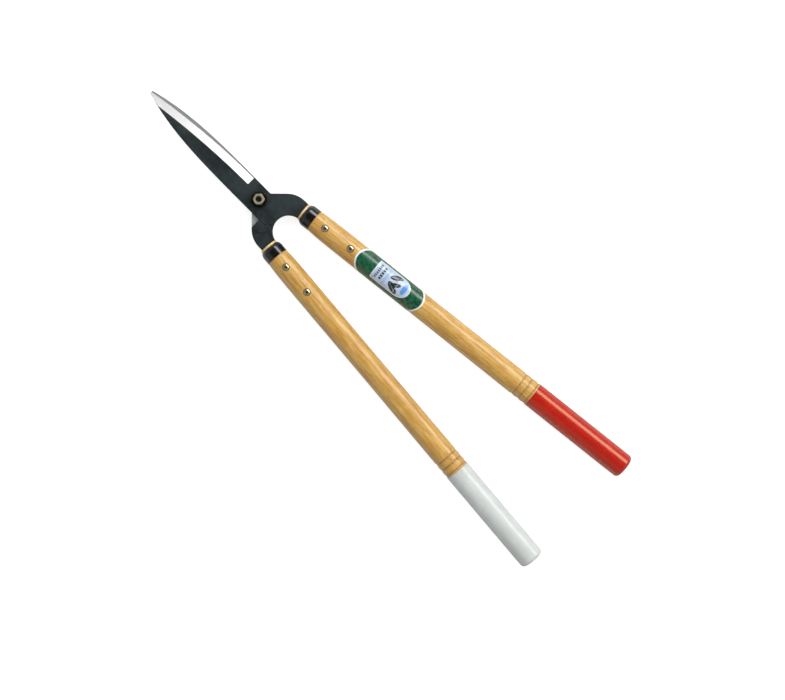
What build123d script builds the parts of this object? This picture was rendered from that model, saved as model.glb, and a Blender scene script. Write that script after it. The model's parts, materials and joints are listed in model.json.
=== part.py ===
from build123d import *

import math
import os

os.makedirs("parts", exist_ok=True)

# Two-handed hedge shears, closed. The frame: X across the pair, +Y towards the blade tips, +Z up out of
# the nut side. The origin is on the pivot axis, on the flat back face of the pivot bolt's head.
# All sizes are millimetres.

# ---- driving dimensions: blades and shanks ----
TIP_Y = 189.0
TIP_BULGE = 0.8
BLADE_HALF_WIDTH = 17.0
BODY_SIDE = 16.4
HEEL_SIDE = 16.9
STOCK = 4.6
TIP_STOCK = 2.4
SPINE_CURVE = 3.0
SPINE_BEND_Y = 30.0
SPINE_MEETS_Y = 198.0
EDGE_REACH = 15.2
EDGE_CURVE = 2.15
EDGE_BEND_Y = 10.0
EDGE_MEETS_Y = 190.6
EDGE_THICKNESS = 0.4
BEVEL_HEEL_Y = 22.3
BEVEL_REACH = 5.1
BEVEL_SWEEP = 14.0
SHOULDER_Y = -5.4
STOP_Y = -19.0
HEEL_CORNER_Y = -27.5
HEEL_CORNER_RADIUS = 5.0
HEEL_CROP = 12.0
HEEL_CROP_SLOPE = 1.15
SHANK_OUTSIDE = 40.8
SHANK_DEPTH = 3.4
SHANK_END_Y = -50.0
ELBOW_RADIUS = 32.0
ARCH_X = -0.7
ARCH_TOP_Y = -34.8
ARCH_RADIUS = 19.9
LUG_X = 20.4
LUG_Y = -27.0
LUG_RADIUS = 8.2
ROUNDED = 1.4
EASED = 0.6
RUNNING_GAP = 0.1

# ---- driving dimensions: pivot ----
BOLT_DIAMETER = 8.0
BOLT_STANDOUT = 0.6
BOLT_CHAMFER = 0.9
HEAD_DIAMETER = 18.0
HEAD_THICKNESS = 3.5
HEAD_CHAMFER = 0.8
NUT_ACROSS_FLATS = 13.0
NUT_HEIGHT = 6.5
NUT_TURN = 15.0
WASHER_DIAMETER = 21.0
WASHER_THICKNESS = 1.6
WASHER_CHAMFER = 0.4
WASHER_PLAY = 0.2
PIVOT_X = 1.2
PIVOT_Y = -1.5
PIVOT_CLEARANCE = 0.05

# ---- driving dimensions: handles ----
HANDLE_RADIUS = 15.5
NECK_RADIUS = 14.1
SWELL_PLACE = 36.0
SWELL_LEFT = 0.25
SWELL_FLARE = 0.12
BARREL_START = 80.0
BARREL_END = 207.0
BUTT_RADIUS = 15.8
GROOVES = (344.8, 354.3, 363.5)
GROOVE_RADIUS = 14.9
GROOVE_LEAD = 3.0
GRIP_START = 366.2
GRIP_RADIUS = 16.0
GRIP_WALL = 1.2
GRIP_CORNER = 5.0
SPIGOT_CORNER = 4.0
FERRULE_START = 3.2
FERRULE_SHOULDER = 9.4
FERRULE_END = 18.0
FERRULE_RADIUS = 14.6
FERRULE_WALL = 1.3
FERRULE_BORE = 11.7
FERRULE_LIP = 0.7
ROUNDED_SHARE = 0.4
RIVET_PLACES = (35.7, 76.2)
RIVET_DIAMETER = 5.0
RIVET_HEAD = 9.6
RIVET_RISE = 2.2
RIVET_SEAT = 14.6
TANG_OVERLAP = 2.75
TANG_LENGTH = 95.0
TANG_ROOT_WIDTH = 15.0
TANG_TIP_WIDTH = 9.0
TANG_THICKNESS = 6.0
LABEL_START = 86.4
LABEL_LENGTH = 103.0
LABEL_END_RADIUS = 18.7
LABEL_THICKNESS = 0.2
LABEL_WRAP = 2.5
FIT = 0.02

# ---- values that follow ----
MATING_Z = HEAD_THICKNESS + STOCK + RUNNING_GAP / 2
FRONT_TOP_Z = MATING_Z + RUNNING_GAP / 2 + STOCK
WASHER_Z = FRONT_TOP_Z + PIVOT_CLEARANCE
NUT_Z = WASHER_Z + WASHER_THICKNESS
ARCH_CENTRE_Y = ARCH_TOP_Y - ARCH_RADIUS
BEYOND_TIP_Y = TIP_Y + 4 * TIP_BULGE
FAR = 4 * HANDLE_RADIUS


class Half:
    """What differs between the two halves: handle place, splay (degrees) and length, and arch centre."""

    def __init__(self, handle_x, splay, length, arch_x):
        self.handle_x = handle_x
        self.splay = splay
        self.length = length
        self.arch_x = arch_x


PAIR = Pos(-PIVOT_X, -PIVOT_Y, MATING_Z)
RED = Half(handle_x=29.7, splay=6.78, length=513.7, arch_x=ARCH_X)
WHITE = Half(handle_x=31.45, splay=4.56, length=512.8, arch_x=-ARCH_X)


def line_face(points):
    """A flat face in the XY plane inside straight lines through the points."""
    return make_face(Polyline(*points, close=True))


# ---- forging: blade, heel, shank and tang in one piece ----
# It is drawn as the upper one of the pair: X and Y from the pair's own centre, Z up from the mating face.

def spine_x(y):
    """How far the blunt back of the blade stands from the centre line."""
    if y < SPINE_BEND_Y:
        share = (y - SHOULDER_Y) / (SPINE_BEND_Y - SHOULDER_Y)
        return -HEEL_SIDE - (BLADE_HALF_WIDTH - HEEL_SIDE) * share
    share = (y - SPINE_BEND_Y) / (SPINE_MEETS_Y - SPINE_BEND_Y)
    return -BLADE_HALF_WIDTH * (1 - share ** SPINE_CURVE)


def edge_x(y):
    """How far the cutting edge stands from the centre line."""
    share = (y - EDGE_BEND_Y) / (EDGE_MEETS_Y - EDGE_BEND_Y)
    return EDGE_REACH * (1 - share ** EDGE_CURVE)


def bevel_x(y):
    """Where the ground bevel meets the flat of the blade."""
    share = (y - EDGE_BEND_Y) / (TIP_Y - EDGE_BEND_Y)
    return BEVEL_REACH - BEVEL_SWEEP * share ** 2


def top_z(y):
    """Height of the blade's flat, which thins towards the tip."""
    share = max(y - BEVEL_HEEL_Y, 0) / (TIP_Y - BEVEL_HEEL_Y)
    return STOCK + (TIP_STOCK - STOCK) * share


def stations(start, end, count):
    """Evenly spread places along the blade, both ends included."""
    return [start + (end - start) * i / (count - 1) for i in range(count)]


def blade_face():
    """Plan outline of the blade down to its shoulder and heel."""
    edge = Spline(*[(edge_x(y), y) for y in stations(BEVEL_HEEL_Y, TIP_Y, 8)])
    spine = Spline(*[(spine_x(y), y) for y in stations(TIP_Y, SPINE_BEND_Y, 8)])
    crest = ((edge_x(TIP_Y) + spine_x(TIP_Y)) / 2, TIP_Y + TIP_BULGE)
    tip = ThreePointArc(edge @ 1, crest, spine @ 0)
    rest = Polyline(
        (spine_x(SPINE_BEND_Y), SPINE_BEND_Y),
        (-HEEL_SIDE, SHOULDER_Y),
        (BODY_SIDE, SHOULDER_Y),
        (BODY_SIDE, BEVEL_HEEL_Y),
        (edge_x(BEVEL_HEEL_Y), BEVEL_HEEL_Y),
    )
    return make_face(Wire([edge, tip, spine, *rest.edges()]))


def heel_face(half):
    """Plan outline of the heel below the pivot, with its cropped stop corner."""
    outline = line_face(
        [
            (-HEEL_SIDE, SHOULDER_Y),
            (-HEEL_SIDE, HEEL_CORNER_Y),
            (-HEEL_SIDE + HEEL_CROP, HEEL_CORNER_Y - HEEL_CROP * HEEL_CROP_SLOPE),
            (0, ARCH_CENTRE_Y),
            (BODY_SIDE, ARCH_CENTRE_Y),
            (BODY_SIDE, SHOULDER_Y),
        ]
    )
    stop_corner = outline.vertices().sort_by_distance((-HEEL_SIDE, HEEL_CORNER_Y))[0]
    return fillet(stop_corner, radius=HEEL_CORNER_RADIUS) - arch_face(half)


def arch_face(half):
    """The round opening between the two shanks."""
    return Pos(half.arch_x, ARCH_CENTRE_Y) * Circle(ARCH_RADIUS)


def shank_face(half):
    """Plan outline of the shank: a 45 degree shoulder that bends round to run along the handle."""
    elbow_y = SHOULDER_Y - (SHANK_OUTSIDE - BODY_SIDE)
    outline = line_face(
        [
            (0, SHOULDER_Y),
            (BODY_SIDE, SHOULDER_Y),
            (SHANK_OUTSIDE, elbow_y),
            (SHANK_OUTSIDE, ARCH_CENTRE_Y),
            (0, ARCH_CENTRE_Y),
        ]
    )
    elbow = outline.vertices().sort_by_distance((SHANK_OUTSIDE, elbow_y))[0]
    return fillet(elbow, radius=ELBOW_RADIUS) - arch_face(half)


def clear_face(other):
    """Plan outline kept clear for the other forging: its blade, shoulder and heel."""
    above_stop = Pos(0, STOP_Y) * Rectangle(2 * FAR, 2 * FAR, align=(Align.CENTER, Align.MIN))
    other_heel = offset(mirror(heel_face(other), about=Plane.YZ), amount=RUNNING_GAP)
    return above_stop + other_heel


def grinding(inner, outer, start):
    """The wedge above a ground facet that runs along the blade between an inner and an outer line."""
    above = 2 * STOCK
    sections = []
    for y in stations(start, BEYOND_TIP_Y, 9):
        inner_x, inner_z = inner(y)
        outer_x, outer_z = outer(y)
        corners = [(inner_x, inner_z), (outer_x, outer_z), (outer_x, above), (inner_x, above)]
        sections.append(make_face(Polyline(*[(x, y, z) for x, z in corners], close=True)))
    return loft(sections)


def bevel_cutter():
    """The wedge ground away to leave the cutting edge."""
    past = STOCK / 2

    def inner(y):
        return bevel_x(y), top_z(y)

    def outer(y):
        fall = (top_z(y) - EDGE_THICKNESS) / (edge_x(y) - bevel_x(y))
        return edge_x(y) + past, EDGE_THICKNESS - fall * past

    return grinding(inner, outer, BEVEL_HEEL_Y)


def back_cutter():
    """The sliver taken off the upper corner of the blade's blunt back."""
    past = 2 * EASED

    def inner(y):
        return spine_x(y) + EASED, top_z(y)

    def outer(y):
        return spine_x(y) + EASED - past, top_z(y) - past

    return grinding(inner, outer, SHOULDER_Y)


def taper_cutter():
    """Everything above the blade's flat where it thins towards the tip."""
    above = 2 * STOCK
    side = make_face(
        Polyline(
            (0, BEVEL_HEEL_Y, STOCK),
            (0, BEYOND_TIP_Y, top_z(BEYOND_TIP_Y)),
            (0, BEYOND_TIP_Y, above),
            (0, BEVEL_HEEL_Y, above),
            close=True,
        )
    )
    return extrude(side, amount=2 * BLADE_HALF_WIDTH, both=True, dir=(1, 0, 0))


def handle_frame(half, side):
    """A frame at the shank's end: its Z runs along the handle to the butt, its X points up."""
    splay = math.radians(half.splay)
    along = (side * math.sin(splay), -math.cos(splay), 0)
    return Plane(origin=(side * half.handle_x, SHANK_END_Y, 0), x_dir=(0, 0, 1), z_dir=along).location


def tang_solid(growth):
    """The flat tapered tang in the handle's frame, or its slot when grown on every side."""
    root_half = TANG_ROOT_WIDTH / 2 + growth
    tip_half = TANG_TIP_WIDTH / 2 + growth
    tip = TANG_LENGTH + growth
    corners = [(-root_half, -TANG_OVERLAP), (root_half, -TANG_OVERLAP), (tip_half, tip), (-tip_half, tip)]
    side = make_face(Polyline(*[(0, y, z) for y, z in corners], close=True))
    return extrude(side, amount=TANG_THICKNESS / 2 + growth, both=True, dir=(1, 0, 0))


def rivet_rods(diameter):
    """Straight cross rods at both rivet places, in the handle's frame."""
    rod = Rot(0, 90, 0) * Cylinder(diameter / 2, FAR)
    return [Pos(0, 0, place) * rod for place in RIVET_PLACES]


def blade_solid():
    """The blade plate: thinned to the tip, its blunt back eased, its edge ground."""
    plate = extrude(blade_face(), amount=STOCK, dir=(0, 0, 1))
    return plate - taper_cutter() - back_cutter() - bevel_cutter()


def below_shoulder(edge):
    """Whether an edge lies wholly in the heel and shank, and not on the line where the blade starts."""
    return edge.center().Y < SHOULDER_Y - RUNNING_GAP


def upper_level(half):
    """Heel and shank on the forging's own level, with rounded outer edges."""
    body = extrude(heel_face(half) + shank_face(half), amount=STOCK, dir=(0, 0, 1))
    rim = body.edges().group_by(Axis.Z)[-1].filter_by(below_shoulder)
    return fillet(rim, radius=ROUNDED)


def lower_level(half, other):
    """The part of the shank that fills the other forging's level too, clear of the other heel."""
    body = extrude(shank_face(half), amount=SHANK_DEPTH, dir=(0, 0, -1))
    bottom = body.edges().group_by(Axis.Z)[0].filter_by(below_shoulder)
    rim = bottom.filter_by(lambda edge: edge.center().X > RUNNING_GAP)
    return fillet(rim, radius=ROUNDED) - extrude(clear_face(other), amount=2 * STOCK, dir=(0, 0, -1))


def stop_lug(other):
    """Round pad beside the heel, as deep as the other forging's stock."""
    pad = Cylinder(LUG_RADIUS, STOCK, align=(Align.CENTER, Align.CENTER, Align.MAX))
    pad = chamfer(pad.edges().group_by(Axis.Z)[0], length=EASED)
    return Pos(LUG_X, LUG_Y) * pad - extrude(clear_face(other), amount=2 * STOCK, dir=(0, 0, -1))


def forging(half, other):
    """One blade, heel, shank and tang, without its pivot hole."""
    frame = handle_frame(half, 1)
    beyond = frame * Box(FAR, FAR, FAR, align=(Align.CENTER, Align.CENTER, Align.MIN))
    tang = frame * tang_solid(0)
    for hole in rivet_rods(RIVET_DIAMETER + 2 * FIT):
        tang = tang - frame * hole
    levels = upper_level(half) + lower_level(half, other)
    return blade_solid() + levels + stop_lug(other) - beyond + tang


def pivot_hole():
    """The clearance hole through both forgings."""
    return Cylinder(BOLT_DIAMETER / 2 + PIVOT_CLEARANCE, FAR)


def front_blade():
    """The upper forging, which carries the red handle."""
    return PAIR * Pos(0, 0, RUNNING_GAP / 2) * forging(RED, WHITE) - pivot_hole()


def rear_blade():
    """The lower forging: the same kind of shape turned over, which carries the white handle."""
    turned_over = Rot(0, 180, 0) * forging(WHITE, RED)
    return PAIR * Pos(0, 0, -RUNNING_GAP / 2) * turned_over - pivot_hole()


# ---- pivot ----

def pivot_bolt():
    """Bolt with a low round head, flat on its back, chamfered at the threaded end."""
    head = Cylinder(HEAD_DIAMETER / 2, HEAD_THICKNESS, align=(Align.CENTER, Align.CENTER, Align.MIN))
    head = chamfer(head.edges().sort_by(Axis.Z)[0], length=HEAD_CHAMFER)
    length = NUT_Z + NUT_HEIGHT + BOLT_STANDOUT
    shank = Cylinder(BOLT_DIAMETER / 2, length, align=(Align.CENTER, Align.CENTER, Align.MIN))
    shank = chamfer(shank.edges().sort_by(Axis.Z)[-1], length=BOLT_CHAMFER)
    return head + shank


def pivot_washer():
    """Flat washer between the upper forging and the nut."""
    disc = Cylinder(WASHER_DIAMETER / 2, WASHER_THICKNESS, align=(Align.CENTER, Align.CENTER, Align.MIN))
    disc = chamfer(disc.edges().sort_by(Axis.Z)[-1], length=WASHER_CHAMFER)
    return Pos(0, 0, WASHER_Z) * (disc - Cylinder(BOLT_DIAMETER / 2 + WASHER_PLAY, FAR))


def pivot_nut():
    """Hexagon nut, its corners turned off by a 30 degree cone at both faces."""
    across_corners = NUT_ACROSS_FLATS / math.cos(math.pi / 6)
    hexagon = extrude(RegularPolygon(across_corners / 2, 6, rotation=NUT_TURN), amount=NUT_HEIGHT)
    drop = (across_corners - NUT_ACROSS_FLATS) / 2 * math.tan(math.pi / 6)
    turned_half = make_face(
        Polyline(
            (0, 0, 0),
            (NUT_ACROSS_FLATS / 2, 0, 0),
            (across_corners / 2, 0, drop),
            (across_corners / 2, 0, NUT_HEIGHT - drop),
            (NUT_ACROSS_FLATS / 2, 0, NUT_HEIGHT),
            (0, 0, NUT_HEIGHT),
            close=True,
        )
    )
    rounded = hexagon & revolve(turned_half, axis=Axis.Z)
    bolt_radius = BOLT_DIAMETER / 2
    bore = Cylinder(bolt_radius + FIT, FAR)
    mouth = Cone(bolt_radius - BOLT_CHAMFER, bolt_radius + BOLT_CHAMFER, 2 * BOLT_CHAMFER)
    return Pos(0, 0, NUT_Z) * (rounded - bore - Pos(0, 0, NUT_HEIGHT) * mouth)


# ---- handle pieces, each drawn in the handle's frame ----

def turned(edges):
    """The solid turned about the handle's axis from a closed profile of radius and place."""
    return revolve(make_face(Wire(edges)), axis=Axis.Z)


def at(radius, place):
    """A point of a turned profile."""
    return (radius, 0, place)


def groove_edges():
    """The turned grooves in front of the grip, with two round beads between them."""
    edges = [
        Spline(
            at(BUTT_RADIUS, GROOVES[0] - GROOVE_LEAD),
            at((2 * BUTT_RADIUS + GROOVE_RADIUS) / 3, GROOVES[0] - ROUNDED_SHARE * GROOVE_LEAD),
            at(GROOVE_RADIUS, GROOVES[0]),
        )
    ]
    for near, far in zip(GROOVES, GROOVES[1:]):
        crest = at(BUTT_RADIUS, (near + far) / 2)
        edges.append(ThreePointArc(at(GROOVE_RADIUS, near), crest, at(GROOVE_RADIUS, far)))
    return edges


def wood_handle(length):
    """Oak handle: nose and neck inside the ferrule, long barrel, beads, and a spigot inside the grip."""
    nose = FERRULE_BORE - RUNNING_GAP
    nose_end = FERRULE_START + FERRULE_WALL + FIT
    neck = FERRULE_RADIUS - FERRULE_WALL - FIT
    neck_end = FERRULE_END + FIT
    spigot = GRIP_RADIUS - GRIP_WALL - FIT
    spigot_end = length - 2 * GRIP_WALL
    front = Polyline(
        at(0, RUNNING_GAP),
        at(nose - EASED, RUNNING_GAP),
        at(nose, RUNNING_GAP + EASED),
        at(nose, nose_end),
        at(neck, nose_end),
        at(neck, neck_end),
        at(NECK_RADIUS, neck_end),
    )
    swell = Spline(
        at(NECK_RADIUS, neck_end),
        at(HANDLE_RADIUS - (HANDLE_RADIUS - NECK_RADIUS) * SWELL_LEFT, SWELL_PLACE),
        at(HANDLE_RADIUS, BARREL_START),
        tangents=[(SWELL_FLARE, 0, 1), (0, 0, 1)],
    )
    barrel = Polyline(
        at(HANDLE_RADIUS, BARREL_START),
        at(HANDLE_RADIUS, BARREL_END),
        at(BUTT_RADIUS, GROOVES[0] - GROOVE_LEAD),
    )
    back = Polyline(
        at(GROOVE_RADIUS, GROOVES[-1]),
        at(BUTT_RADIUS, GRIP_START - EASED),
        at(BUTT_RADIUS, GRIP_START),
        at(spigot, GRIP_START),
        at(spigot, spigot_end - SPIGOT_CORNER),
        at(spigot - SPIGOT_CORNER, spigot_end),
        at(0, spigot_end),
        at(0, RUNNING_GAP),
    )
    body = turned([*front.edges(), swell, *barrel.edges(), *groove_edges(), *back.edges()])
    body = body - tang_solid(RUNNING_GAP)
    for hole in rivet_rods(RIVET_DIAMETER + 2 * FIT):
        body = body - hole
    return body - rivet_seats()


def rivet_seats():
    """Shallow flat seats where the rivet heads sit on the round wood."""
    seat = Cylinder(RIVET_HEAD / 2 + RUNNING_GAP, FAR, align=(Align.CENTER, Align.CENTER, Align.MIN))
    upper = Pos(RIVET_SEAT, 0, 0) * Rot(0, 90, 0) * seat
    lower = Pos(-RIVET_SEAT, 0, 0) * Rot(0, -90, 0) * seat
    return [Pos(0, 0, place) * side for place in RIVET_PLACES for side in (upper, lower)]


def rivet(place):
    """One rivet through handle and tang, domed at both ends."""
    rod = Rot(0, 90, 0) * Cylinder(RIVET_DIAMETER / 2, 2 * RIVET_SEAT)
    dome_radius = ((RIVET_HEAD / 2) ** 2 + RIVET_RISE ** 2) / (2 * RIVET_RISE)
    ball = Pos(0, 0, RIVET_RISE - dome_radius) * Sphere(dome_radius)
    dome = ball & Cylinder(RIVET_HEAD, RIVET_HEAD, align=(Align.CENTER, Align.CENTER, Align.MIN))
    upper = Pos(RIVET_SEAT, 0, 0) * Rot(0, 90, 0) * dome
    lower = Pos(-RIVET_SEAT, 0, 0) * Rot(0, -90, 0) * dome
    return Pos(0, 0, place) * (rod + upper + lower)


def ferrule():
    """Black metal cap with a domed front and an opening for the handle's nose."""
    inner = FERRULE_RADIUS - FERRULE_WALL
    lip = FERRULE_BORE + FERRULE_LIP
    dome_depth = FERRULE_SHOULDER - FERRULE_START
    mouth = Polyline(
        at(FERRULE_RADIUS, FERRULE_END),
        at(inner, FERRULE_END),
        at(inner, FERRULE_START + FERRULE_WALL),
        at(FERRULE_BORE, FERRULE_START + FERRULE_WALL),
        at(FERRULE_BORE, FERRULE_START),
        at(lip, FERRULE_START),
    )
    dome = ThreePointArc(
        at(lip, FERRULE_START),
        at(FERRULE_RADIUS - (FERRULE_RADIUS - lip) / 3, FERRULE_START + ROUNDED_SHARE * dome_depth),
        at(FERRULE_RADIUS, FERRULE_SHOULDER),
    )
    side = Line(at(FERRULE_RADIUS, FERRULE_SHOULDER), at(FERRULE_RADIUS, FERRULE_END))
    return turned([*mouth.edges(), dome, side])


def grip(length):
    """Thin coloured sleeve, closed and rounded at the butt."""
    inner = GRIP_RADIUS - GRIP_WALL
    inner_end = length - 2 * GRIP_WALL + FIT
    bend = GRIP_CORNER * (1 - math.sqrt(0.5))
    hollow = Polyline(
        at(0, length),
        at(0, inner_end),
        at(inner - SPIGOT_CORNER, inner_end),
        at(inner, inner_end - SPIGOT_CORNER),
        at(inner, GRIP_START + FIT),
        at(GRIP_RADIUS - EASED / 2, GRIP_START + FIT),
        at(GRIP_RADIUS, GRIP_START + EASED),
        at(GRIP_RADIUS, length - GRIP_CORNER),
    )
    round_end = ThreePointArc(
        at(GRIP_RADIUS, length - GRIP_CORNER),
        at(GRIP_RADIUS - bend, length - bend),
        at(GRIP_RADIUS - GRIP_CORNER, length),
    )
    butt = Line(at(GRIP_RADIUS - GRIP_CORNER, length), at(0, length))
    return turned([*hollow.edges(), round_end, butt])


def label():
    """Thin sticker wrapped over the upper side of the barrel, with round ends."""
    inner = HANDLE_RADIUS + FIT
    outer = inner + LABEL_THICKNESS
    tube = Cylinder(outer, LABEL_LENGTH) - Cylinder(inner, LABEL_LENGTH)
    end_centre = LABEL_LENGTH / 2 - LABEL_END_RADIUS
    middle = Rectangle(2 * LABEL_END_RADIUS, 2 * end_centre)
    ends = [Pos(0, side * end_centre) * Circle(LABEL_END_RADIUS) for side in (-1, 1)]
    plan = Plane.YZ * (middle + ends)
    over = extrude(plan, amount=2 * HANDLE_RADIUS, dir=(1, 0, 0))
    under = extrude(plan, amount=LABEL_WRAP, dir=(-1, 0, 0))
    return Pos(0, 0, LABEL_START + LABEL_LENGTH / 2) * (tube & (over + under))


# ---- write one file for each named piece ----

WHITE_FRAME = PAIR * handle_frame(WHITE, -1)
RED_FRAME = PAIR * handle_frame(RED, 1)

pieces = {
    "rear_blade": rear_blade(),
    "front_blade": front_blade(),
    "pivot_bolt": pivot_bolt(),
    "pivot_washer": pivot_washer(),
    "pivot_nut": pivot_nut(),
    "red_handle_label": RED_FRAME * label(),
}
for colour, frame, half in (("white", WHITE_FRAME, WHITE), ("red", RED_FRAME, RED)):
    pieces[f"{colour}_handle_wood"] = frame * wood_handle(half.length)
    pieces[f"{colour}_handle_ferrule"] = frame * ferrule()
    pieces[f"{colour}_handle_rivets"] = Compound(children=[frame * rivet(place) for place in RIVET_PLACES])
    pieces[f"{colour}_grip"] = frame * grip(half.length)

for name, piece in pieces.items():
    export_step(piece, f"parts/{name}.step")
    print(name, len(piece.solids()), round(piece.volume), piece.is_valid)
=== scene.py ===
import json
import math

import bpy
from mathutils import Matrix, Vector


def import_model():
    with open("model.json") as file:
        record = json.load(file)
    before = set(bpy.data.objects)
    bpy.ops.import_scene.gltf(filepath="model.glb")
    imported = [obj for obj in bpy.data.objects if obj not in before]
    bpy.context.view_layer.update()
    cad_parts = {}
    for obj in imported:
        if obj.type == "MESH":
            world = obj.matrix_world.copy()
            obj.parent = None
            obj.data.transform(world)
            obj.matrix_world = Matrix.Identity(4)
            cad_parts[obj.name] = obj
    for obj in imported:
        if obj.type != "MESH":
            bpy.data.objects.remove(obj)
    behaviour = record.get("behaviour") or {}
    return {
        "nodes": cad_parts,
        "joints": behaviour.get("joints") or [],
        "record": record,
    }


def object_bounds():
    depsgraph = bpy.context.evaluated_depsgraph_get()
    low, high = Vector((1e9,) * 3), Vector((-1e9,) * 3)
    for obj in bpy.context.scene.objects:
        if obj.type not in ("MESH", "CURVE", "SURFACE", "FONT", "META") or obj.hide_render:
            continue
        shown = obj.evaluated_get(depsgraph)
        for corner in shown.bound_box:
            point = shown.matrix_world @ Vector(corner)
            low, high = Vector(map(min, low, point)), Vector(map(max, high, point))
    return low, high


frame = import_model()
cad_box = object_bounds()
nodes = frame["nodes"]

# Materials work in millimetres of the CAD frame; lights, camera and floor are placed in metres.
MM = 0.001


# ---- places read from the frame ----

MATING_Z = frame["joints"][0]["pos_m"][2]   # the joint is placed where the two blades meet
FLOOR_Z = cad_box[0][2]
CENTRE = (Vector(cad_box[0]) + Vector(cad_box[1])) / 2


def span(node, direction):
    """Nearest and farthest reach of a CAD node along a direction."""
    reaches = [vertex.co.dot(direction) for vertex in nodes[node].data.vertices]
    return min(reaches), max(reaches)


class Handle:
    """The axis of one handle: it starts at the nose of the wood and runs to the butt."""

    def __init__(self, name):
        mounts = frame["record"]["mounts"]
        shaft = next(mount for mount in mounts if mount["name"] == f"{name}_grip_shaft")
        self.name = name
        self.along = Vector(shaft["axis"]).normalized()
        self.radius = shaft["dims"]["r_mm"]
        self.nose = span(f"{name}_handle_wood", self.along)[0]
        middle = Vector(shaft["pos_m"])
        self.start = middle + self.along * (self.nose - middle.dot(self.along))

    def reach(self, node):
        """Where a node starts and ends along the handle, in millimetres from the nose."""
        near, far = span(node, self.along)
        return (near - self.nose) / MM, (far - self.nose) / MM


WHITE = Handle("white")
RED = Handle("red")


# ---- small helpers for building materials ----

def colour(red, green, blue):
    """An opaque colour from its three linear parts."""
    return (red, green, blue, 1.0)


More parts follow.
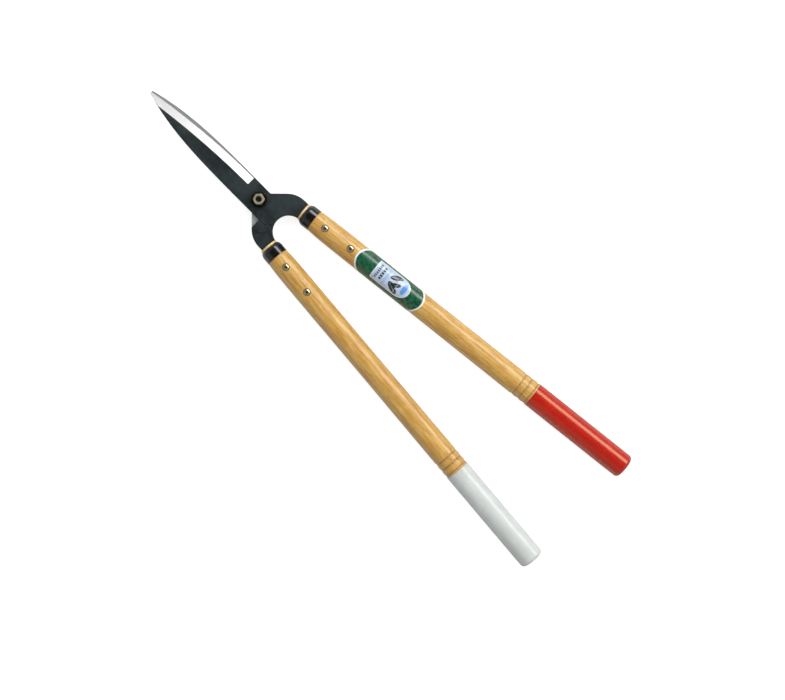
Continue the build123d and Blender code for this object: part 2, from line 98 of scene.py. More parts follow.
class Recipe:
    """A material's node tree, built by short calls that each return an output socket."""

    def __init__(self, name):
        self.material = bpy.data.materials.new(name)
        self.material.use_nodes = True
        self.tree = self.material.node_tree
        self.shader = self.tree.nodes["Principled BSDF"]

    def add(self, kind, inputs=None, **settings):
        """Adds a node, sets its options, fills its inputs with values or links, and returns it."""
        node = self.tree.nodes.new(kind)
        for key, value in settings.items():
            setattr(node, key, value)
        for key, value in (inputs or {}).items():
            self.fill(node.inputs[key], value)
        return node

    def fill(self, socket, value):
        """Links an output to the socket, or sets the socket's own value."""
        if isinstance(value, bpy.types.NodeSocket):
            self.tree.links.new(value, socket)
        else:
            socket.default_value = value

    def math(self, operation, a, b=0.0):
        return self.add("ShaderNodeMath", {0: a, 1: b}, operation=operation).outputs[0]

    def vector(self, operation, a, b=(0, 0, 0)):
        """Vector mathematics; LENGTH and DOT_PRODUCT give a number."""
        node = self.add("ShaderNodeVectorMath", {0: a, 1: b}, operation=operation)
        return node.outputs["Value" if operation in ("LENGTH", "DOT_PRODUCT") else "Vector"]

    def place(self):
        """Millimetres in the CAD frame, which turn with the body."""
        raw = self.add("ShaderNodeTexCoord").outputs["Object"]
        return self.vector("MULTIPLY", raw, (1 / MM, 1 / MM, 1 / MM))

    def from_pivot(self, place):
        """Distance from the pivot's axis."""
        return self.vector("LENGTH", self.vector("MULTIPLY", place, (1, 1, 0)))

    def handle_place(self, handle):
        """Millimetres beside a handle's axis: X across, Y from the nose to the butt, Z up."""
        raw = self.add("ShaderNodeTexCoord").outputs["Object"]
        turn = math.atan2(-handle.along.x, handle.along.y)
        return self.local(raw, handle.start, turn, (-MM, MM, MM))

    def local(self, vector, origin, turn, scale=(1, 1, 1)):
        """The vector as seen from axes with their own origin, turned about Z."""
        inputs = {"Vector": vector, "Location": origin, "Rotation": (0, 0, turn), "Scale": scale}
        return self.add("ShaderNodeMapping", inputs, vector_type="TEXTURE").outputs[0]

    def xyz(self, vector):
        return self.add("ShaderNodeSeparateXYZ", {0: vector}).outputs

    def joined(self, x=0.0, y=0.0, z=0.0):
        return self.add("ShaderNodeCombineXYZ", {0: x, 1: y, 2: z}).outputs[0]

    def cells(self, vector, size):
        """The vector in cells of size millimetres: one number, or one for each axis."""
        sizes = size if isinstance(size, tuple) else (size, size, size)
        return self.vector("DIVIDE", vector, sizes)

    def noise(self, vector, size, detail=3.0, roughness=0.55):
        """Smooth noise whose features are about size millimetres on each axis."""
        scaled = self.cells(vector, size)
        inputs = {"Vector": scaled, "Scale": 1.0, "Detail": detail, "Roughness": roughness}
        return self.add("ShaderNodeTexNoise", inputs).outputs[0]

    def specks(self, vector, size):
        """Distance to the nearest of many scattered points, in cells of size millimetres."""
        inputs = {"Vector": self.cells(vector, size), "Scale": 1.0}
        return self.add("ShaderNodeTexVoronoi", inputs).outputs["Distance"]

    def ramp(self, value, low, high, bottom=0.0, top=1.0):
        """Maps value from low..high to bottom..top smoothly, clamped."""
        inputs = {"Value": value, "From Min": low, "From Max": high, "To Min": bottom, "To Max": top}
        return self.add("ShaderNodeMapRange", inputs, interpolation_type="SMOOTHSTEP").outputs[0]

    def both(self, a, b):
        return self.math("MULTIPLY", a, b)

    def either(self, a, b):
        return self.math("MAXIMUM", a, b)

    def but(self, a, b):
        """The mask a without the mask b."""
        return self.math("MULTIPLY", a, self.math("SUBTRACT", 1.0, b))

    def mix(self, share, a, b):
        """From colour a to colour b."""
        inputs = {0: share, 6: a, 7: b}
        return self.add("ShaderNodeMix", inputs, data_type="RGBA").outputs[2]

    def tinted(self, base, mask, share, other):
        """The base colour, taken a share of the way to the other colour where the mask is 1."""
        return self.mix(self.math("MULTIPLY", mask, share), base, other)

    def shift(self, share, a, b):
        """From number a to number b."""
        return self.add("ShaderNodeMix", {0: share, 2: a, 3: b}, data_type="FLOAT").outputs[0]

    def bump(self, height, depth_mm, strength=1.0, normal=None):
        inputs = {"Height": height, "Distance": depth_mm * MM, "Strength": strength}
        if normal is not None:
            inputs["Normal"] = normal
        return self.add("ShaderNodeBump", inputs).outputs[0]

    def rounded(self, radius_mm):
        """The surface normal as if sharp edges were slightly rounded."""
        return self.add("ShaderNodeBevel", {"Radius": radius_mm * MM}, samples=6).outputs[0]

    def edges(self, radius_mm, low=0.01, high=0.12):
        """1 on sharp edges, 0 on open surfaces."""
        true_normal = self.add("ShaderNodeNewGeometry").outputs["Normal"]
        agreement = self.vector("DOT_PRODUCT", self.rounded(radius_mm), true_normal)
        return self.ramp(self.math("SUBTRACT", 1.0, agreement), low, high)

    def corners(self, reach_mm):
        """1 deep in inner corners of the piece, 0 on open surfaces; it masks painted shade."""
        inputs = {"Distance": reach_mm * MM}
        openness = self.add("ShaderNodeAmbientOcclusion", inputs, samples=8, only_local=True).outputs["AO"]
        return self.ramp(openness, 0.90, 0.55)

    def ellipse(self, vector, centre, radii, soft=0.04):
        """1 inside an ellipse of the XY plane."""
        local = self.vector("SUBTRACT", vector, (centre[0], centre[1], 0))
        scaled = self.vector("DIVIDE", local, (radii[0], radii[1], 1))
        flat = self.vector("MULTIPLY", scaled, (1, 1, 0))
        return self.ramp(self.vector("LENGTH", flat), 1 + soft, 1 - soft)

    def box(self, vector, centre, half, corner=0.3, soft=0.12):
        """1 inside a rectangle of the XY plane with rounded corners, all in millimetres."""
        local = self.vector("SUBTRACT", vector, (centre[0], centre[1], 0))
        inner_half = (half[0] - corner, half[1] - corner, 0)
        outside = self.vector("SUBTRACT", self.vector("ABSOLUTE", local), inner_half)
        flat = self.vector("MULTIPLY", self.vector("MAXIMUM", outside, (0, 0, 0)), (1, 1, 0))
        return self.ramp(self.vector("LENGTH", flat), corner + soft, corner - soft)

    def finish(self, **inputs):
        """Fills the main shader's inputs, their names written with underscores."""
        for key, value in inputs.items():
            self.fill(self.shader.inputs[key.replace("_", " ")], value)
        return self.material


def dress(node, material):
    """Gives a CAD node one material."""
    mesh = nodes[node].data
    mesh.materials.clear()
    mesh.materials.append(material)


# ---- forged steel ----

BEVEL_FACING = (0.86, 0.988)   # how far up a bevel's face looks, between a steep and a flat face
BEVEL_HEEL_Y = 23.0            # the bevels lie beyond this
STOP_Y = -17.5                 # the mating faces end here
MATING_DEPTH = 0.2             # a mating face lies this close to where the blades meet
MATING_BRIGHTENING_Y = (10.0, -8.0)        # a mating face grows brighter from the first to the second


def forge_scale(r, place):
    """Colour, roughness and height of dark forge scale: hammered, pitted, worn bright on its edges, with
    painted shade in its inner corners.
    """
    patches = r.noise(place, 26.0, 4)
    hammer = r.noise(place, 7.0, 2)
    grain = r.noise(place, 0.9, 4, 0.65)
    between_pits = r.ramp(r.specks(place, 2.6), 0.10, 0.22)
    worn = r.both(r.edges(0.7), r.ramp(r.noise(place, 5.0, 4), 0.38, 0.62))
    rust = r.both(r.ramp(r.noise(place, 11.0, 5, 0.7), 0.60, 0.72), r.ramp(grain, 0.4, 0.6))

    dark = r.mix(r.ramp(patches, 0.32, 0.68), colour(0.018, 0.026, 0.028), colour(0.040, 0.054, 0.057))
    dark = r.mix(r.ramp(hammer, 0.45, 0.75, 0.0, 0.5), dark, colour(0.044, 0.055, 0.057))
    dark = r.tinted(dark, rust, 0.55, colour(0.060, 0.034, 0.020))
    dark = r.mix(between_pits, colour(0.010, 0.012, 0.013), dark)
    dark = r.tinted(dark, worn, 0.55, colour(0.21, 0.22, 0.22))
    # painted shade: the forge scale is darkened in the piece's inner corners, where shade falls
    dark = r.mix(r.corners(4.0), dark, colour(0.006, 0.007, 0.007))

    rough = r.math("ADD", r.ramp(grain, 0.3, 0.7, 0.36, 0.54), r.ramp(patches, 0.3, 0.7, 0.0, 0.12))
    height = r.math("ADD", r.math("MULTIPLY", hammer, 1.6), r.math("MULTIPLY", grain, 0.35))
    height = r.math("ADD", height, r.math("MULTIPLY", between_pits, 0.25))
    return dark, rough, height


def ground_steel(r, place, mating):
    """Colour, roughness and height of bare steel, ground across the bevels and along the mating faces."""
    across = r.noise(place, (6.0, 0.16, 6.0), 3, 0.7)
    lengthwise = r.noise(place, (0.18, 9.0, 3.0), 3, 0.7)
    cloud = r.noise(place, 9.0, 4)
    mating_brightening = r.ramp(r.xyz(place)[1], *MATING_BRIGHTENING_Y)

    ground = r.mix(r.ramp(across, 0.3, 0.7), colour(0.86, 0.86, 0.85), colour(0.95, 0.95, 0.94))
    smooth = r.mix(r.ramp(lengthwise, 0.3, 0.7), colour(0.46, 0.47, 0.47), colour(0.60, 0.61, 0.61))
    smooth = r.mix(r.ramp(cloud, 0.5, 0.8, 0.0, 0.35), smooth, colour(0.28, 0.28, 0.27))
    # the mating face's colour is made brighter towards the shoulder, across the pivot
    smooth = r.tinted(smooth, mating_brightening, 0.8, colour(0.86, 0.87, 0.87))

    rough = r.math("ADD", r.ramp(cloud, 0.3, 0.7, 0.36, 0.44), r.ramp(across, 0.3, 0.7, 0.0, 0.06))
    lines = r.math("MULTIPLY", r.shift(mating, across, lengthwise), 0.10)
    return r.mix(mating, ground, smooth), rough, lines


def forged_material(name, outward):
    """Forge scale with bare bevel and mating face. outward is +1 for the upper forging, -1 for the lower."""
    r = Recipe(name)
    place = r.place()
    xyz = r.xyz(place)
    true_normal = r.add("ShaderNodeNewGeometry").outputs["True Normal"]
    facing = r.math("MULTIPLY", r.xyz(true_normal)[2], outward)
    not_flat = r.math("LESS_THAN", facing, BEVEL_FACING[1])
    not_steep = r.math("GREATER_THAN", facing, BEVEL_FACING[0])
    beyond_heel = r.math("GREATER_THAN", xyz[1], BEVEL_HEEL_Y)
    bevel = r.both(r.both(not_flat, not_steep), beyond_heel)
    from_mating = r.math("ABSOLUTE", r.math("SUBTRACT", xyz[2], MATING_Z / MM))
    at_mating = r.math("LESS_THAN", from_mating, MATING_DEPTH)
    mating = r.both(at_mating, r.math("GREATER_THAN", xyz[1], STOP_Y))
    bare = r.either(bevel, mating)

    dark, dark_rough, dark_height = forge_scale(r, place)
    bright, bright_rough, bright_height = ground_steel(r, place, mating)
    return r.finish(
        Base_Color=r.mix(bare, dark, bright),
        Metallic=r.shift(bare, 0.5, 0.72),
        Roughness=r.shift(bare, dark_rough, bright_rough),
        Normal=r.bump(r.shift(bare, dark_height, bright_height), 0.14, 0.8),
    )


# ---- pivot hardware ----

NUT_PAINTED_SHADE_RADII = (6.2, 6.9)   # painted shade: the nut is darkened between these distances from the pivot's axis, over its turned-off corners and sides


def plated_material():
    """Yellow zinc plating: blotched, rubbed on its edges, with painted shade on the turned-off corners and
    the sides.
    """
    r = Recipe("yellow_zinc_plating")
    place = r.place()
    bloom = r.noise(place, 3.2, 4)
    grain = r.noise(place, 0.35, 3)
    base = r.mix(r.ramp(bloom, 0.32, 0.68), colour(0.58, 0.49, 0.29), colour(0.86, 0.79, 0.58))
    base = r.mix(r.ramp(r.noise(place, 1.4, 4), 0.60, 0.74, 0.0, 0.7), base, colour(0.20, 0.17, 0.10))
    base = r.tinted(base, r.edges(0.5), 0.7, colour(0.86, 0.85, 0.80))
    # painted shade: the nut's turned-off corners and sides are darkened
    painted_shade_rim = r.ramp(r.from_pivot(place), *NUT_PAINTED_SHADE_RADII)
    base = r.tinted(base, painted_shade_rim, 0.75, colour(0.13, 0.105, 0.06))
    return r.finish(
        Base_Color=base,
        Metallic=0.8,
        Roughness=r.ramp(bloom, 0.3, 0.7, 0.26, 0.46),
        Normal=r.bump(grain, 0.03, 0.5, r.rounded(0.22)),
    )


def turned_steel_material(name, dark, light, rough):
    """Oiled or blackened steel with the rings left by turning."""
    r = Recipe(name)
    place = r.place()
    rings = r.noise(r.joined(r.from_pivot(place), 0.0, 0.0), 0.30, 3, 0.7)
    smear = r.noise(place, 2.8, 4)
    grain = r.noise(place, 0.4, 3)
    base = r.mix(r.ramp(smear, 0.3, 0.7), colour(*dark), colour(*light))
    shine = r.both(r.edges(0.5), r.ramp(r.noise(place, 1.8, 3), 0.38, 0.62))
    base = r.tinted(base, shine, 0.6, colour(0.42, 0.40, 0.36))
    return r.finish(
        Base_Color=base,
        Metallic=0.9,
        Roughness=r.ramp(smear, 0.3, 0.7, rough - 0.08, rough + 0.10),
        Normal=r.bump(r.math("ADD", rings, r.math("MULTIPLY", grain, 0.6)), 0.035, 0.6, r.rounded(0.25)),
    )


# ---- handles ----

RING_PITCH = 2.7               # between growth rings
GROOVES_REACH = (26.0, 23.0)   # the turned grooves begin between these distances before the grip
GROOVED_RADIUS = 15.55         # there, wood nearer the axis than this is down in a groove
RIVET_SEAT = 1.2               # the rivet heads sit this far inside the grip's radius


def growth_rings(r, place, moved, pith):
    """How far through its growth ring each point of the wood lies, from 0 to 1."""
    xyz = r.xyz(place)
    lean = r.math("MULTIPLY", xyz[1], 0.018)
    ring_x = r.math("ADD", r.math("SUBTRACT", xyz[0], pith[0]), lean)
    ring_z = r.math("SUBTRACT", xyz[2], pith[1])
    sway = r.noise(moved, (22.0, 190.0, 22.0), 3)
    ripple = r.noise(moved, (5.0, 42.0, 5.0), 3)
    distance = r.vector("LENGTH", r.joined(ring_x, 0.0, ring_z))
    distance = r.math("ADD", distance, r.math("MULTIPLY", sway, 16.0))
    distance = r.math("ADD", distance, r.math("MULTIPLY", ripple, 2.4))
    return r.math("FRACT", r.math("DIVIDE", distance, RING_PITCH))


def oak_grain(r, moved, ring):
    """Colour of clean oak, and masks of its fibres and its open pores."""
    late = r.ramp(ring, 0.25, 0.95)
    early = r.ramp(ring, 0.42, 0.05)
    patches = r.noise(moved, (11.0, 70.0, 11.0), 4)
    streaks = r.noise(moved, (2.6, 34.0, 2.6), 4, 0.6)
    elsewhere = r.vector("ADD", moved, (37.0, 0, 0))
    tint = r.noise(elsewhere, (4.2, 26.0, 4.2), 4, 0.6)
    fibres = r.noise(moved, (0.45, 26.0, 0.45), 4, 0.65)
    flecks = r.ramp(r.noise(moved, (3.4, 9.0, 0.8), 3, 0.6), 0.62, 0.74)
    pores = r.ramp(r.noise(moved, (0.30, 7.0, 0.30), 2, 0.5), 0.56, 0.66)
    pores = r.both(pores, r.shift(early, 0.35, 1.0))

    wood = r.mix(r.ramp(patches, 0.30, 0.70), colour(0.50, 0.235, 0.030), colour(0.65, 0.355, 0.058))
    wood = r.mix(r.ramp(streaks, 0.44, 0.62, 0.0, 0.80), wood, colour(0.76, 0.52, 0.16))
    wood = r.mix(r.ramp(streaks, 0.48, 0.34, 0.0, 0.70), wood, colour(0.46, 0.18, 0.018))
    wood = r.mix(r.ramp(tint, 0.52, 0.66, 0.0, 0.55), wood, colour(0.64, 0.31, 0.14))
    wood = r.mix(r.ramp(tint, 0.47, 0.33, 0.0, 0.55), wood, colour(0.46, 0.31, 0.06))
    wood = r.tinted(wood, late, 0.55, colour(0.43, 0.185, 0.026))
    wood = r.mix(r.ramp(fibres, 0.35, 0.65, 0.0, 0.45), wood, colour(0.70, 0.44, 0.10))
    wood = r.tinted(wood, flecks, 0.30, colour(0.80, 0.52, 0.19))
    wood = r.tinted(wood, pores, 0.62, colour(0.20, 0.085, 0.018))
    return wood, fibres, pores


def handle_tone_and_shade(r, wood, place, handle):
    """The wood's colour with painted shade in the grooves, a pale nose, and painted shade at both rims of
    the ferrule.
    """
    xyz = r.xyz(place)
    along = xyz[1]
    grip_start = handle.reach(f"{handle.name}_grip")[0]
    from_axis = r.vector("LENGTH", r.joined(xyz[0], 0.0, xyz[2]))
    near_grip = r.ramp(along, grip_start - GROOVES_REACH[0], grip_start - GROOVES_REACH[1])
    groove = r.both(near_grip, r.ramp(from_axis, GROOVED_RADIUS, GROOVED_RADIUS - 0.6))
    # painted shade: the wood is darkened down in the grooves, where shade falls
    wood = r.tinted(wood, groove, 0.60, colour(0.22, 0.10, 0.025))

    rim, back_rim = handle.reach(f"{handle.name}_handle_ferrule")
    nose = r.ramp(along, rim, rim - 0.5)
    wood = r.tinted(wood, nose, 0.75, colour(0.86, 0.62, 0.29))
    # painted shade: a dark band where the wood meets the ferrule's front rim
    under_rim = r.both(r.ramp(along, rim - 0.8, rim - 0.2), r.ramp(along, rim + 1.0, rim))
    wood = r.tinted(wood, under_rim, 0.8, colour(0.035, 0.018, 0.008))
    # painted shade: darker wood beside the ferrule's back rim
    by_back_rim = r.both(r.ramp(along, back_rim + 1.6, back_rim - 0.2), r.ramp(along, 2.0, 6.0))
    return r.tinted(wood, by_back_rim, 0.45, colour(0.12, 0.06, 0.02))


def oak_material(handle, pith, seed):
    """Lacquered oak, its growth rings about a pith beside the handle. seed moves the grain along."""
    r = Recipe(f"{handle.name}_oak")
    place = r.handle_place(handle)
    moved = r.vector("ADD", place, (seed, seed * 3, seed))
    wood, fibres, pores = oak_grain(r, moved, growth_rings(r, place, moved, pith))
    depth = r.math("SUBTRACT", r.math("MULTIPLY", fibres, 0.25), pores)
    waves = r.noise(moved, (6.0, 16.0, 6.0), 2)
    return r.finish(
        Base_Color=handle_tone_and_shade(r, wood, place, handle),
        Roughness=r.ramp(fibres, 0.3, 0.7, 0.42, 0.55),
        Normal=r.bump(depth, 0.05, 0.7),
        Coat_Weight=1.0,
        Coat_Roughness=r.ramp(waves, 0.3, 0.7, 0.18, 0.30),
        Coat_Normal=r.bump(r.math("ADD", waves, r.math("MULTIPLY", depth, 0.06)), 0.10, 0.5),
    )


def enamel_material(handle):
    """Glossy black enamel on the ferrule, rubbed to bare steel here and there along its rims."""
    r = Recipe(f"{handle.name}_ferrule_enamel")
    place = r.handle_place(handle)
    peel = r.noise(place, 1.5, 2)
    dust = r.noise(place, 4.5, 5, 0.65)
    worn = r.both(r.edges(0.35, 0.02, 0.15), r.ramp(r.noise(place, 2.0, 4), 0.52, 0.64))
    black = colour(0.0030, 0.0033, 0.0036)
    base = r.mix(r.ramp(dust, 0.45, 0.8, 0.0, 0.6), black, colour(0.010, 0.0105, 0.0105))
    base = r.mix(worn, base, colour(0.30, 0.29, 0.27))
    return r.finish(
        Base_Color=base,
        Metallic=worn,
        Roughness=r.ramp(dust, 0.3, 0.7, 0.14, 0.24),
        Normal=r.bump(peel, 0.02, 0.4, r.rounded(0.3)),
        Coat_Weight=1.0,
        Coat_Roughness=0.13,
    )


def rivet_material(handle):
    """Polished brass rivet heads with a little tarnish and painted shade round the foot."""
    r = Recipe(f"{handle.name}_rivet_brass")
    place = r.handle_place(handle)
    tarnish = r.noise(place, 2.2, 4)
    scratch = r.noise(place, (0.2, 3.0, 0.2), 3)
    seat = handle.radius - RIVET_SEAT
    height = r.math("ABSOLUTE", r.xyz(place)[2])
    # painted shade: the head is darkened round its foot, where it meets the wood
    foot = r.ramp(height, seat + 0.7, seat - 0.1)
    base = r.mix(r.ramp(tarnish, 0.35, 0.70), colour(0.82, 0.72, 0.48), colour(0.50, 0.38, 0.19))
    base = r.tinted(base, foot, 0.8, colour(0.07, 0.045, 0.02))
    return r.finish(
        Base_Color=base,
        Metallic=1.0,
        Roughness=r.ramp(tarnish, 0.3, 0.7, 0.06, 0.16),
        Normal=r.bump(scratch, 0.01, 0.5),
    )


# The pale, deep and soiled shades of each grip's coating.
OFF_WHITE = ((0.65, 0.685, 0.67), (0.58, 0.615, 0.595), (0.36, 0.36, 0.30))
SIGNAL_RED = ((0.52, 0.009, 0.004), (0.44, 0.006, 0.003), (0.14, 0.004, 0.004))


def coating_material(handle, shades, gloss, gloss_tint):
    """Glossy dipped coating on the grip: slightly uneven, a few scuffs, soiled at its edge and butt."""
    r = Recipe(f"{handle.name}_grip_coating")
    pale, deep, soil = [colour(*shade) for shade in shades]
    place = r.handle_place(handle)
    along = r.xyz(place)[1]
    cloud = r.noise(place, (16.0, 34.0, 16.0), 4)
    mottle = r.noise(place, 2.2, 4, 0.6)
    peel = r.noise(place, 3.0, 2)
    scuffs = r.ramp(r.noise(place, (1.0, 12.0, 1.0), 4, 0.7), 0.63, 0.76)
    start, end = handle.reach(f"{handle.name}_grip")
    at_start = r.ramp(along, start + 2.2, start)
    at_butt = r.ramp(along, end - 5.0, end)
    base = r.mix(r.ramp(cloud, 0.32, 0.68), deep, pale)
    base = r.mix(r.ramp(mottle, 0.40, 0.70, 0.0, 0.16), base, soil)
    dirt = r.both(r.either(at_start, at_butt), r.ramp(r.noise(place, 5.0, 4), 0.35, 0.65, 0.15, 0.5))
    base = r.mix(dirt, base, soil)
    base = r.tinted(base, scuffs, 0.22, soil)
    rough = r.math("ADD", r.ramp(cloud, 0.3, 0.7, 0.22, 0.28), r.math("MULTIPLY", scuffs, 0.15))
    return r.finish(
        Base_Color=base,
        Roughness=rough,
        Normal=r.bump(r.math("ADD", peel, r.math("MULTIPLY", mottle, 0.15)), 0.05, 0.5),
        Specular_IOR_Level=gloss,
        Specular_Tint=colour(*gloss_tint),
        Coat_Weight=0.5,
        Coat_IOR=1.35,
        Coat_Roughness=0.14,
    )


# ---- printed label ----
# It is drawn on a flat sheet: X round the handle from its upper side, Y from the label's start.

LABEL_END_RADIUS = 18.7   # of the label's round ends
NOSE_BORDER = 2.4         # white border at the end towards the nose
BUTT_BORDER = 2.0         # white border at the end towards the butt
PANEL_MIDDLE = 0.9        # centre line of the pale panel
PANEL_HALF_WIDTH = 14.6
PANEL_TOP = 28.5          # its square end
PANEL_TURN = 64.0         # its straight sides end here
PANEL_BOTTOM = 81.5       # its round end
PANEL_RIM = 0.9           # white line round it

LABEL_GREEN = colour(0.004, 0.120, 0.048)
LABEL_DARK_GREEN = colour(0.002, 0.030, 0.014)
LABEL_WHITE = colour(0.80, 0.82, 0.80)
LABEL_HAZE = colour(0.42, 0.52, 0.70)
LABEL_PALE = colour(0.56, 0.64, 0.76)
LABEL_SKY = colour(0.36, 0.50, 0.74)
LABEL_BLUE = colour(0.10, 0.30, 0.66)
LABEL_INK = colour(0.012, 0.020, 0.018)


def bars(r, sheet, centre, half, pitch, filled):
    """A row of plain printed bars along X."""
    row = r.box(sheet, centre, half)
    step = r.math("FRACT", r.math("DIVIDE", r.xyz(sheet)[0], pitch))
    return r.both(row, r.ramp(step, filled + 0.05, filled - 0.05))


def sprig(r, sheet, centre, lean, size):
    """A plain leaf: a leaning ellipse with a light vein down its middle."""
    local = r.local(sheet, (centre[0], centre[1], 0), lean)
    leaf = r.ellipse(local, (0, 0), (size * 0.42, size), 0.06)
    vein = r.box(local, (0, 0), (size * 0.02, size * 0.8), size * 0.02, 0.10)
    return r.but(leaf, vein)


def label_print(r, sheet):
    """1 on the ink: two rows of plain bars above three plain leaves."""
    ink = bars(r, sheet, (PANEL_MIDDLE, 34.2), (11.0, 1.5), 2.9, 0.62)
    ink = r.either(ink, bars(r, sheet, (PANEL_MIDDLE + 0.4, 40.4), (9.6, 1.7), 3.7, 0.70))
    leaves = (((-6.0, 60.0), 0.5, 9.0), ((-0.8, 62.0), -0.5, 6.6), ((8.0, 58.0), -0.55, 8.6))
    for centre, lean, size in leaves:
        ink = r.either(ink, sprig(r, sheet, centre, lean, size))
    return ink


def label_field(r, plan, length):
    """1 on the green field, 0 on the white borders of the two round ends. plan is the view from above."""
    half = length / 2
    straight = r.box(plan, (0, half), (2 * RED.radius, half - LABEL_END_RADIUS))
    nose_radii = (LABEL_END_RADIUS - NOSE_BORDER,) * 2
    butt_radii = (LABEL_END_RADIUS - BUTT_BORDER,) * 2
    nose_end = r.ellipse(plan, (0, LABEL_END_RADIUS), nose_radii, 0.012)
    butt_end = r.ellipse(plan, (0, length - LABEL_END_RADIUS), butt_radii, 0.012)
    return r.either(straight, r.either(nose_end, butt_end))


def label_panel(r, sheet, inset):
    """1 on the pale panel, square at one end and round at the other, drawn in by the inset."""
    half_width = PANEL_HALF_WIDTH - inset
    middle_y = (PANEL_TOP + PANEL_TURN) / 2
    half_height = (PANEL_TURN - PANEL_TOP) / 2 - inset
    body = r.box(sheet, (PANEL_MIDDLE, middle_y), (half_width, half_height), 2.0)
    tail_radii = (half_width, PANEL_BOTTOM - PANEL_TURN - inset)
    tail = r.ellipse(sheet, (PANEL_MIDDLE, PANEL_TURN), tail_radii, 0.015)
    past_turn = r.ramp(r.xyz(sheet)[1], PANEL_TURN - 1.0, PANEL_TURN)
    return r.either(body, r.both(tail, past_turn))


def label_material():
    """Glossy sticker: green field, white ends, and a pale panel with plain shapes in place of print."""
    r = Recipe("printed_label")
    start, end = RED.reach("red_handle_label")
    place = r.xyz(r.handle_place(RED))
    wrapped = r.math("MULTIPLY", r.math("ARCTAN2", place[0], place[2]), RED.radius)
    down = r.math("SUBTRACT", place[1], start)
    sheet = r.joined(wrapped, down, 0.0)
    plan = r.joined(place[0], down, 0.0)

    inside = label_panel(r, sheet, PANEL_RIM)
    band = r.box(sheet, (PANEL_MIDDLE, 46.5), (PANEL_HALF_WIDTH - 2.0, 1.9), 0.6)
    oval = r.ellipse(sheet, (PANEL_MIDDLE + 0.6, 73.6), (7.6, 3.3), 0.04)
    haze = r.ramp(r.noise(sheet, (9.0, 7.0, 1.0), 3), 0.35, 0.65)
    grain = r.noise(sheet, (4.5, 4.5, 1.0), 5, 0.6)
    scuff = r.ramp(r.noise(sheet, (2.0, 10.0, 1.0), 5, 0.7), 0.64, 0.78)
    ripple = r.noise(sheet, (7.0, 12.0, 1.0), 2)

    base = r.mix(r.ramp(grain, 0.42, 0.62), LABEL_GREEN, LABEL_DARK_GREEN)
    base = r.mix(label_field(r, plan, end - start), LABEL_WHITE, base)
    base = r.mix(label_panel(r, sheet, 0.0), base, LABEL_WHITE)
    base = r.mix(inside, base, r.mix(haze, LABEL_HAZE, LABEL_PALE))
    base = r.mix(r.both(inside, band), base, LABEL_SKY)
    base = r.mix(oval, base, LABEL_BLUE)
    base = r.mix(r.both(inside, label_print(r, sheet)), base, LABEL_INK)
    base = r.tinted(base, scuff, 0.3, colour(0.5, 0.5, 0.48))
    return r.finish(
        Base_Color=base,
        Roughness=r.math("ADD", r.ramp(grain, 0.3, 0.7, 0.30, 0.40), r.math("MULTIPLY", scuff, 0.2)),
        Normal=r.bump(ripple, 0.12, 0.5),
        Coat_Weight=1.0,
        Coat_Roughness=0.22,
    )


# ---- dress every piece ----

dress("front_blade", forged_material("front_forging_steel", 1))
dress("rear_blade", forged_material("rear_forging_steel", -1))
dress("pivot_nut", plated_material())
dress("pivot_bolt", turned_steel_material(
    "bolt_steel", dark=(0.016, 0.015, 0.012), light=(0.07, 0.065, 0.05), rough=0.30,
))
dress("pivot_washer", turned_steel_material(
    "washer_steel", dark=(0.010, 0.010, 0.010), light=(0.035, 0.035, 0.034), rough=0.42,
))
dress("red_handle_label", label_material())
dress("white_handle_wood", oak_material(WHITE, pith=(26.0, -34.0), seed=140.0))
dress("red_handle_wood", oak_material(RED, pith=(-38.0, -20.0), seed=610.0))
dress("white_grip", coating_material(WHITE, OFF_WHITE, gloss=0.5, gloss_tint=(0.92, 0.96, 1.0)))
dress("red_grip", coating_material(RED, SIGNAL_RED, gloss=1.0, gloss_tint=(1.0, 0.85, 0.50)))
for side in (WHITE, RED):
    dress(f"{side.name}_handle_ferrule", enamel_material(side))
    dress(f"{side.name}_handle_rivets", rivet_material(side))


# ---- floor, light and camera ----

FLOOR_GLOW = 0.76   # seen by the camera only: it pales the shadows and lights nothing


def floor():
    """A wide pale floor just under the lowest point."""
    drop = 0.2 * MM
    half = 25.0
    corners = [(-half, -half), (half, -half), (half, half), (-half, half)]
    mesh = bpy.data.meshes.new("floor")
    mesh.from_pydata([(x, y, FLOOR_Z - drop) for x, y in corners], [], [(0, 1, 2, 3)])
    sheet = bpy.data.objects.new("floor", mesh)
    bpy.context.scene.collection.objects.link(sheet)
    paper = Recipe("floor_paper")
    tone = paper.noise(paper.place(), 40.0, 2)
    white = paper.mix(tone, colour(0.58, 0.58, 0.58), colour(0.60, 0.60, 0.60))
    glow = paper.math("MULTIPLY", paper.add("ShaderNodeLightPath").outputs["Is Camera Ray"], FLOOR_GLOW)
    mesh.materials.append(paper.finish(
        Base_Color=white,
        Roughness=0.9,
        Specular_IOR_Level=0.2,
        Emission_Color=colour(1, 1, 1),
        Emission_Strength=glow,
    ))


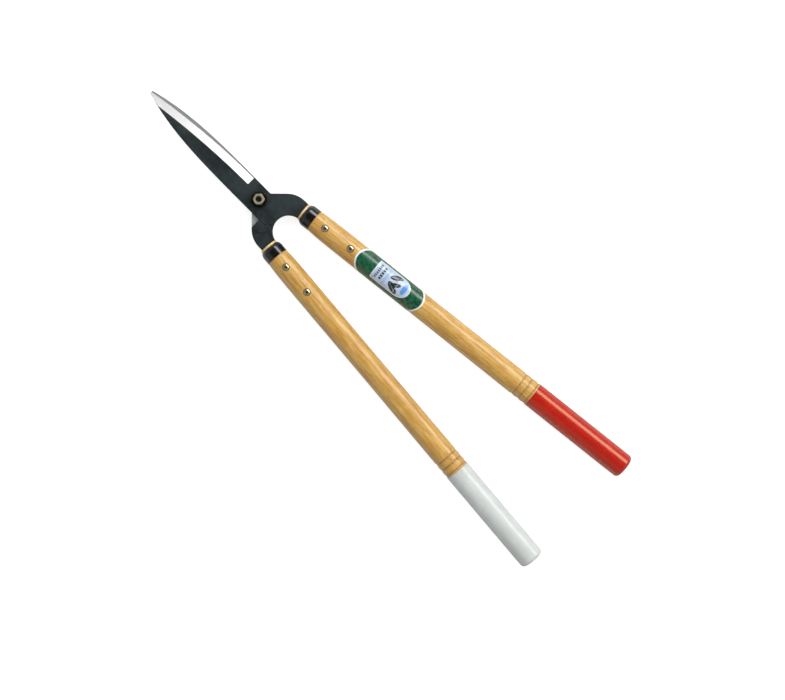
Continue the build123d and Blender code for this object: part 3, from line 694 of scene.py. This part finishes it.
def area_light(name, towards, distance, size, radiance):
    """A soft rectangular light, seen from the middle of the shears in one direction at a distance.

    It faces the middle, and size is its level width and its height.
    """
    data = bpy.data.lights.new(name, "AREA")
    data.shape = "RECTANGLE"
    data.size, data.size_y = size
    data.energy = radiance * math.pi * size[0] * size[1]
    lamp = bpy.data.objects.new(name, data)
    bpy.context.scene.collection.objects.link(lamp)
    offset = towards.normalized() * distance
    lamp.location = CENTRE + offset
    lamp.rotation_euler = (-offset).to_track_quat("-Z", "Y").to_euler()
    return lamp


def lights():
    """A long soft box on the +X side, and a fill beyond each end that only matt surfaces show."""
    elevation = math.radians(38)
    towards_key = Vector((math.cos(elevation), 0, math.sin(elevation)))
    area_light("key", towards_key, distance=1.5, size=(2.2, 0.60), radiance=4.0)
    for name, end in (("tip_fill", 1), ("butt_fill", -1)):
        towards_fill = Vector((0.15, 0.68 * end, 0.72))
        fill = area_light(name, towards_fill, distance=2.0, size=(2.0, 2.0), radiance=1.6)
        fill.visible_glossy = False


def camera():
    """Straight down on the shears, turned so that the blades point to the upper left."""
    distance = 1.8
    view_width = 0.981
    turn = math.radians(-44.7)
    beside_centre = Vector((-21.45 * MM, -65.37 * MM))
    data = bpy.data.cameras.new("camera")
    data.sensor_width = 36
    data.lens = data.sensor_width * distance / view_width
    eye = bpy.data.objects.new("camera", data)
    bpy.context.scene.collection.objects.link(eye)
    eye.location = (CENTRE.x + beside_centre.x, CENTRE.y + beside_centre.y, MATING_Z + distance)
    eye.rotation_euler = (0, 0, turn)
    bpy.context.scene.camera = eye


def world():
    """Dim surroundings with a darker ceiling, so that flat metal and glossy coatings keep their depth."""
    surroundings = bpy.data.worlds.new("surroundings")
    surroundings.use_nodes = True
    tree = surroundings.node_tree
    direction = tree.nodes.new("ShaderNodeTexCoord").outputs["Generated"]
    parts = tree.nodes.new("ShaderNodeSeparateXYZ")
    tree.links.new(direction, parts.inputs[0])
    ceiling = tree.nodes.new("ShaderNodeMapRange")
    dimming = {"From Min": 0.70, "From Max": 0.92, "To Min": 0.34, "To Max": 0.06}
    for key, value in dimming.items():
        ceiling.inputs[key].default_value = value
    tree.links.new(parts.outputs["Z"], ceiling.inputs["Value"])
    tree.links.new(ceiling.outputs[0], tree.nodes["Background"].inputs["Strength"])
    tree.nodes["Background"].inputs["Color"].default_value = colour(1, 1, 1)
    bpy.context.scene.world = surroundings


floor()
lights()
camera()
world()
bpy.context.scene.view_settings.view_transform = "Standard"
